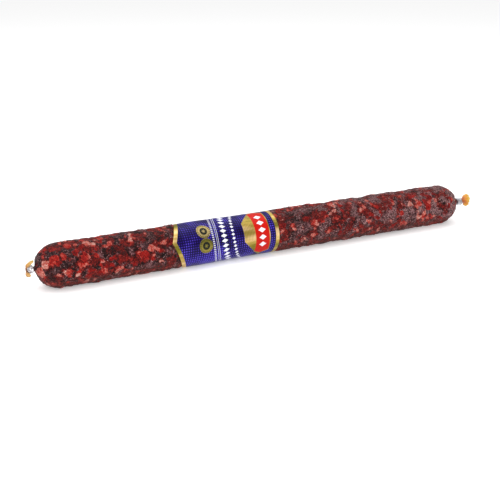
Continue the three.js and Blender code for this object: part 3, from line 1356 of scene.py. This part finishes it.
# %% Clip material
def make_aluminium():
    material, tree, shader = new_material("clip_aluminium")
    place = object_place(tree)
    drawn = add(tree, "ShaderNodeMapping", {"Vector": place, "Scale": (6, 0.6, 0.6)})["Vector"]
    streaks = noise_texture(tree, drawn, 1.2 * MM, 4, 0.6)
    stains = noise_texture(tree, place, 1.5 * MM, 3, 0.6)
    rubbed = ramp(
        tree, stains,
        (0.36, (0.26, 0.26, 0.29)), (0.5, (0.60, 0.60, 0.64)), (0.62, (0.96, 0.96, 0.98)),
    )
    right_clip_shade_colour = mix_colour(tree, streaks, (0.06, 0.06, 0.07, 1), (0.60, 0.60, 0.64, 1))
    # Painted shade: the right clip is mixed towards a darker streaked colour.
    painted_shade_right_clip = times(tree, step_between(tree, split(tree, place)["X"], LEFT_TIP, RIGHT_TIP), 0.70)
    feed(tree, shader, {
        "Base Color": mix_colour(tree, painted_shade_right_clip, rubbed, right_clip_shade_colour),
        "Metallic": 1,
        "Roughness": times_plus(tree, streaks, 0.3, 0.25),
        "Normal": bump(tree, streaks, 0.03 * MM),
    })
    return material


aluminium = make_aluminium()
make_piece("left_clip_ring", left_ring, aluminium, replaces="left_clip")
make_piece("right_clip_ring", right_ring, aluminium, replaces="right_clip")

# %% [markdown]
# ## The casing's tails
# Beyond each clip the empty casing dries into stiff amber petals. Each tail is a thin sheet that
# leaves the neck and bends away from it. The bend is followed in small steps, as a pen would draw it,
# and lobes say how far it goes at each angle round the axis.

# %% Bends and lobes
START_HEADING = math.radians(10)
PATH_STEPS = 24


def bent_path(bends, gone):
    """Distance along the axis and away from it, after going this far along a bending path.
    Each bend is how far it turns, where it starts and where it ends."""
    along = 0.0
    away = 0.0
    for i in range(PATH_STEPS):
        here = gone * (i + 0.5) / PATH_STEPS
        turned = sum(turn * smooth(start, end, here) for turn, start, end in bends)
        along += math.cos(START_HEADING + turned) * gone / PATH_STEPS
        away += math.sin(START_HEADING + turned) * gone / PATH_STEPS
    return along, away


def lobe(angle, middle, half_width, squareness=2):
    """1 in the middle of a lobe, falling to 0 away from it, all in degrees."""
    off = abs((math.degrees(angle) - middle + 180) % 360 - 180)
    return math.exp(-((off / half_width) ** squareness))


print("a straight path of 5 mm ends at", [round(c / MM, 2) for c in bent_path([], 5 * MM)])

# %% [markdown]
# The right tail opens into a shallow flower. The left one is torn into two lobes: the upper one
# folds back over the clip, and the lower one curls up under it.

# %% Form of the tails
def right_reach(angle):
    front = 0.8 * lobe(angle, -10, 80)
    back = 1.0 * lobe(angle, 175, 60)
    top = 1.6 * lobe(angle, 70, 45)
    return (8.2 + top + front - back + 0.4 * math.sin(5 * angle)) * MM


def right_bends(angle):
    opening = 48 + 14 * math.sin(3 * angle + 0.5) - 16 * lobe(angle, 150, 60)
    return [(math.radians(opening), 0, 8.5 * MM)]


def left_reach(angle):
    return (0.5 + 9.6 * lobe(angle, 74, 25, 4) + 7.2 * lobe(angle, -52, 44, 4)) * MM


def left_bends(angle):
    upper = lobe(angle, 74, 55)
    lower = lobe(angle, -52, 60)
    flare = (math.radians(82 - 44 * lower), 0, 1.0 * MM)
    curl = math.radians(20 + 34 * upper + 100 * lower)
    return [flare, (curl, (2.0 - 1.2 * lower) * MM, (3.6 + 2.6 * lower) * MM)]


print("right tail reaches", round(right_reach(0) / MM, 1), "mm at its front")

# %% [markdown]
# A strip from the neck outwards is spun into a flat disc, then every vertex is laid on its bent
# path, with a ruffle and some crumple that grow towards the rim. Cloth simulation could do it too,
# but dried casing is stiff, and this way each lobe goes where it should.

# %% Petal sheets
STEPS_OUT = 34
STEPS_ROUND = 140
RUFFLES = 9
CRUMPLE = 0.35 * MM


def petal_sheet(root_x, outwards, reach_at, bends_at, ruffle):
    """A sheet that leaves the neck at root_x. For each angle, reach_at says how long the sheet is
    and bends_at how it bends."""
    bm = spin_profile([(0, (1 + i) * MM) for i in range(STEPS_OUT + 1)], 0, STEPS_ROUND)
    for vert in bm.verts:
        share = (math.hypot(vert.co.y, vert.co.z) / MM - 1) / STEPS_OUT
        angle = math.atan2(vert.co.z, -vert.co.y)
        along, away = bent_path(bends_at(angle), reach_at(angle) * share)
        swing = RUFFLES * angle + 3 * share + 2 * math.sin(angle)
        wave = ruffle * share * math.sin(swing)
        radius = NECK_RADIUS * 0.8 + away + wave * 0.5
        point = round_point(root_x + outwards * (along + wave * 0.6), angle, radius)
        vert.co = point + noise.noise_vector(point / (1.8 * MM)) * CRUMPLE * share
    bmesh.ops.recalc_face_normals(bm, faces=bm.faces)
    return bm


left_root = left_ring_low.x + 0.1 * MM
right_root = right_clip_high.x - 0.2 * MM
left_sheet = petal_sheet(left_root, -1, left_reach, left_bends, 0.3 * MM)
right_sheet = petal_sheet(right_root, 1, right_reach, right_bends, 0.4 * MM)
print("sheets have", len(left_sheet.faces), "and", len(right_sheet.faces), "faces")

# %% [markdown]
# Dry casing is a translucent amber sheet: light passes through it and comes out orange, most of all
# where it is gathered near the clip. A share of transmission on a rough shader does that. The colour
# pales with the distance from the axis, and the left tail is drier and browner. Solidify gives the
# sheet its thickness.

# %% Tail material
CASING = 0.22 * MM
PALE_AT = 6.5 * MM
DRIED_AMBER = (0.60, 0.33, 0.12, 1)


def make_casing():
    material, tree, shader = new_material("dry_casing")
    place = object_place(tree)
    axis = {0: place, 1: (0, 0, AXIS_HEIGHT)}
    sides = split(tree, add(tree, "ShaderNodeVectorMath", axis, operation="SUBTRACT")["Vector"])
    away = far_from_centre(tree, sides["Y"], sides["Z"])
    blotches = noise_texture(tree, place, 2.2 * MM, 3, 0.6)
    paleness = times_plus(tree, away, 1 / PALE_AT, times_plus(tree, blotches, 0.5, -0.5))
    amber = ramp(
        tree, paleness,
        (0.05, (0.46, 0.080, 0.004)), (0.34, (0.72, 0.240, 0.012)),
        (0.62, (0.80, 0.430, 0.040)), (0.95, (0.90, 0.68, 0.18)),
    )
    dried = times(tree, step_between(tree, sides["X"], RIGHT_TIP, LEFT_TIP), 0.55)
    height, _ = dried_skin(tree, place, 1.6 * MM, 1.5)
    feed(tree, shader, {
        "Base Color": mix_colour(tree, dried, amber, DRIED_AMBER),
        "Roughness": times_plus(tree, blotches, 0.3, 0.25),
        "Transmission Weight": 0.35,
        "Normal": bump(tree, height, 0.15 * MM),
    })
    return material


casing = make_casing()
for name, sheet in (("left_casing_tail", left_sheet), ("right_casing_tail", right_sheet)):
    give_thickness(make_piece(name, sheet, casing), CASING, 0)
